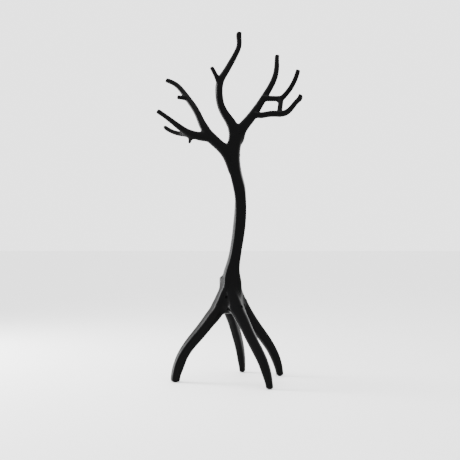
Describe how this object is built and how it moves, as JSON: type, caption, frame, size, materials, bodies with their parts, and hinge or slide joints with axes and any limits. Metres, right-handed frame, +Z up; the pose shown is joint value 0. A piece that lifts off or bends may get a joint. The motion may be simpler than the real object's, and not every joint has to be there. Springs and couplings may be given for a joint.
{
  "type": "coat stand",
  "caption": "Free-standing tree-shaped coat stand in black lacquered wood, with root-like legs, a bare curved trunk and forked boughs whose tips are coat hooks.",
  "frame": {"origin": "on the floor under the middle of the stand's outline", "axes": "+Z up the trunk, +X to the right across the spread of the crown, +Y to the back"},
  "size_m": [0.7917, 0.5947, 1.9295],
  "materials": {
    "lacquered_wood": "black satin lacquer over laminated wood",
    "hardware_steel": "zinc plated",
    "cap_plastic": "black moulded",
    "glide_plastic": "dark grey nylon",
    "dowel_beech": "raw fluted beech"
  },
  "bodies": {
    "root": {"trunk": "lacquered_wood", "left_leg": "lacquered_wood", "front_leg": "lacquered_wood", "right_leg": "lacquered_wood", "back_leg": "lacquered_wood", "left_bough": "lacquered_wood", "centre_bough": "lacquered_wood", "right_bough": "lacquered_wood", "side_leg_bolt": "hardware_steel", "side_leg_washer": "hardware_steel", "side_leg_insert": "hardware_steel", "front_leg_bolt": "hardware_steel", "front_leg_washer": "hardware_steel", "front_leg_insert": "hardware_steel", "back_leg_bolt": "hardware_steel", "back_leg_washer": "hardware_steel", "back_leg_insert": "hardware_steel", "left_bough_bolt": "hardware_steel", "left_bough_washer": "hardware_steel", "left_bough_insert": "hardware_steel", "right_bough_bolt": "hardware_steel", "right_bough_washer": "hardware_steel", "right_bough_insert": "hardware_steel", "centre_bough_stud": "hardware_steel", "left_leg_glide_screw": "hardware_steel", "front_leg_glide_screw": "hardware_steel", "right_leg_glide_screw": "hardware_steel", "back_leg_glide_screw": "hardware_steel", "side_leg_cap": "cap_plastic", "front_leg_cap": "cap_plastic", "back_leg_cap": "cap_plastic", "left_bough_cap": "cap_plastic", "right_bough_cap": "cap_plastic", "left_leg_glide": "glide_plastic", "front_leg_glide": "glide_plastic", "right_leg_glide": "glide_plastic", "back_leg_glide": "glide_plastic", "left_leg_dowels": "dowel_beech", "front_leg_dowels": "dowel_beech", "right_leg_dowels": "dowel_beech", "back_leg_dowels": "dowel_beech", "left_bough_dowels": "dowel_beech", "centre_bough_dowels": "dowel_beech"}
  },
  "joints": []
}
